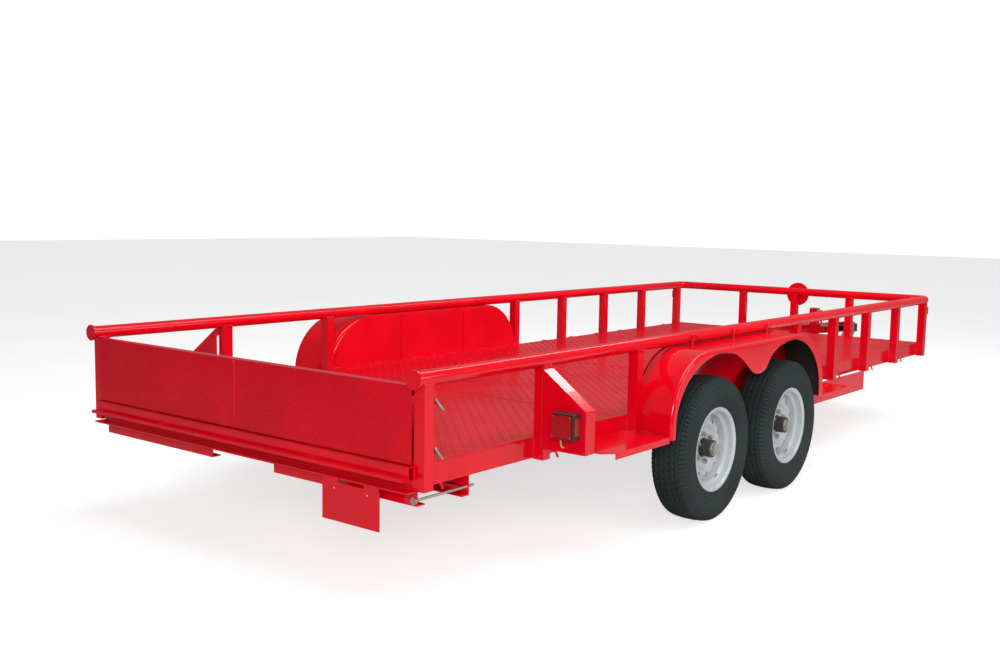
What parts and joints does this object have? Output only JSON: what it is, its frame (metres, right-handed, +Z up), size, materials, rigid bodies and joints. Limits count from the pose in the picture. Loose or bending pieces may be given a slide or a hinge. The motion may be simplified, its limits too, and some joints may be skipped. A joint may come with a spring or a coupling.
{
  "type": "livestock trailer",
  "caption": "Red steel livestock and utility trailer with a pipe top rail, tread-plate deck and tailgate, double-arch fenders and white steel wheels on two axles.",
  "frame": {"origin": "on the ground, at the middle of the outline seen from above, coupler and tail bracket included", "axes": "+Y towards the hitch, +X the right-hand side of the trailer, +Z up"},
  "size_m": [2.58, 6.974, 0.955],
  "materials": {
    "red_paint": "glossy",
    "red_tread": "glossy",
    "black_plastic": "satin",
    "red_lens": "glossy",
    "amber_lens": "glossy",
    "zinc": "satin",
    "cream_insulation": "matte",
    "black_steel": "satin",
    "spring_steel": "matte",
    "tyre_rubber": "matte",
    "white_paint": "glossy",
    "black_cast": "satin"
  },
  "bodies": {
    "chassis": {"side_beams": "red_paint", "rear_beam": "red_paint", "cross_members": "red_paint", "deck_plates": "red_tread", "side_rails": "red_paint", "front_rail": "red_paint", "rail_caps": "red_paint", "corner_posts": "red_paint", "side_posts": "red_paint", "front_posts": "red_paint", "fender_skins": "red_paint", "fender_aprons": "red_paint", "fender_walls": "red_paint", "steps": "red_paint", "front_skirts": "red_paint", "tail_brackets": "red_paint", "tail_lamp_housings": "black_plastic", "tail_lamp_lenses": "red_lens", "side_lenses": "red_lens", "lamp_screws": "zinc", "lamp_leads": "cream_insulation", "marker_lamps": "amber_lens", "rope_hooks": "red_paint", "ramp_rail": "red_paint", "ramp_rack": "red_paint", "plate_bracket": "red_paint", "axles": "black_steel", "leaf_springs": "spring_steel", "spring_hangers": "black_steel", "tongue": "red_paint", "coupler": "black_steel", "spare_carrier": "red_paint", "jack_body": "red_paint"},
    "gate": {"gate_sheets": "red_tread", "gate_frame": "red_paint"},
    "lock_rod": {"ramp_lock_rod": "zinc"},
    "latch": {"coupler_latch": "zinc"},
    "jack_foot": {"jack_leg": "zinc"},
    "crank": {"jack_crank": "zinc"},
    "pin_upper_left": {"gate_pin_upper_left": "zinc"},
    "pin_upper_right": {"gate_pin_upper_right": "zinc"},
    "pin_lower_left": {"gate_pin_lower_left": "zinc"},
    "pin_lower_right": {"gate_pin_lower_right": "zinc"},
    "wheel_rear_left": {"tyre_rear_left": "tyre_rubber", "rim_rear_left": "white_paint", "hub_rear_left": "black_cast", "hardware_rear_left": "zinc"},
    "wheel_rear_right": {"tyre_rear_right": "tyre_rubber", "rim_rear_right": "white_paint", "hub_rear_right": "black_cast", "hardware_rear_right": "zinc"},
    "wheel_front_left": {"tyre_front_left": "tyre_rubber", "rim_front_left": "white_paint", "hub_front_left": "black_cast", "hardware_front_left": "zinc"},
    "wheel_front_right": {"tyre_front_right": "tyre_rubber", "rim_front_right": "white_paint", "hub_front_right": "black_cast", "hardware_front_right": "zinc"}
  },
  "joints": [
    {"name": "gate_lift", "type": "slide", "parent": "chassis", "child": "gate", "axis": [0, 0, 1], "range_m": [0, 0.3]},
    {"name": "pin_upper_left_pull", "type": "slide", "parent": "chassis", "child": "pin_upper_left", "axis": [-1, 0, 0], "range_m": [0, 0.05]},
    {"name": "pin_upper_right_pull", "type": "slide", "parent": "chassis", "child": "pin_upper_right", "axis": [1, 0, 0], "range_m": [0, 0.05]},
    {"name": "pin_lower_left_pull", "type": "slide", "parent": "chassis", "child": "pin_lower_left", "axis": [-1, 0, 0], "range_m": [0, 0.05]},
    {"name": "pin_lower_right_pull", "type": "slide", "parent": "chassis", "child": "pin_lower_right", "axis": [1, 0, 0], "range_m": [0, 0.05]},
    {"name": "lock_rod_pull", "type": "slide", "parent": "chassis", "child": "lock_rod", "axis": [0, -1, 0], "range_m": [0, 0.4]},
    {"name": "latch_lift", "type": "hinge", "parent": "chassis", "child": "latch", "pos_m": [0, 3.421, 0.549], "axis": [1, 0, 0], "range_deg": [-80, 0]},
    {"name": "crank_turn", "type": "hinge", "parent": "chassis", "child": "crank", "pos_m": [0, 2.585, 0.706], "axis": [1, 0, 0], "range_deg": [0, 9000]},
    {"name": "leg_extend", "type": "slide", "parent": "chassis", "child": "jack_foot", "axis": [0, 0, 1], "range_m": [-0.26, 0]},
    {"name": "wheel_rear_left_spin", "type": "hinge", "parent": "chassis", "child": "wheel_rear_left", "pos_m": [-1.17, -1.525, 0.356], "axis": [1, 0, 0], "continuous": true},
    {"name": "wheel_rear_right_spin", "type": "hinge", "parent": "chassis", "child": "wheel_rear_right", "pos_m": [1.17, -1.525, 0.356], "axis": [1, 0, 0], "continuous": true},
    {"name": "wheel_front_left_spin", "type": "hinge", "parent": "chassis", "child": "wheel_front_left", "pos_m": [-1.17, -0.69, 0.356], "axis": [1, 0, 0], "continuous": true},
    {"name": "wheel_front_right_spin", "type": "hinge", "parent": "chassis", "child": "wheel_front_right", "pos_m": [1.17, -0.69, 0.356], "axis": [1, 0, 0], "continuous": true}
  ],
  "couplings": [
    {"joint": "leg_extend", "follows": "crank_turn", "m_per_rad": -0.0016}
  ]
}
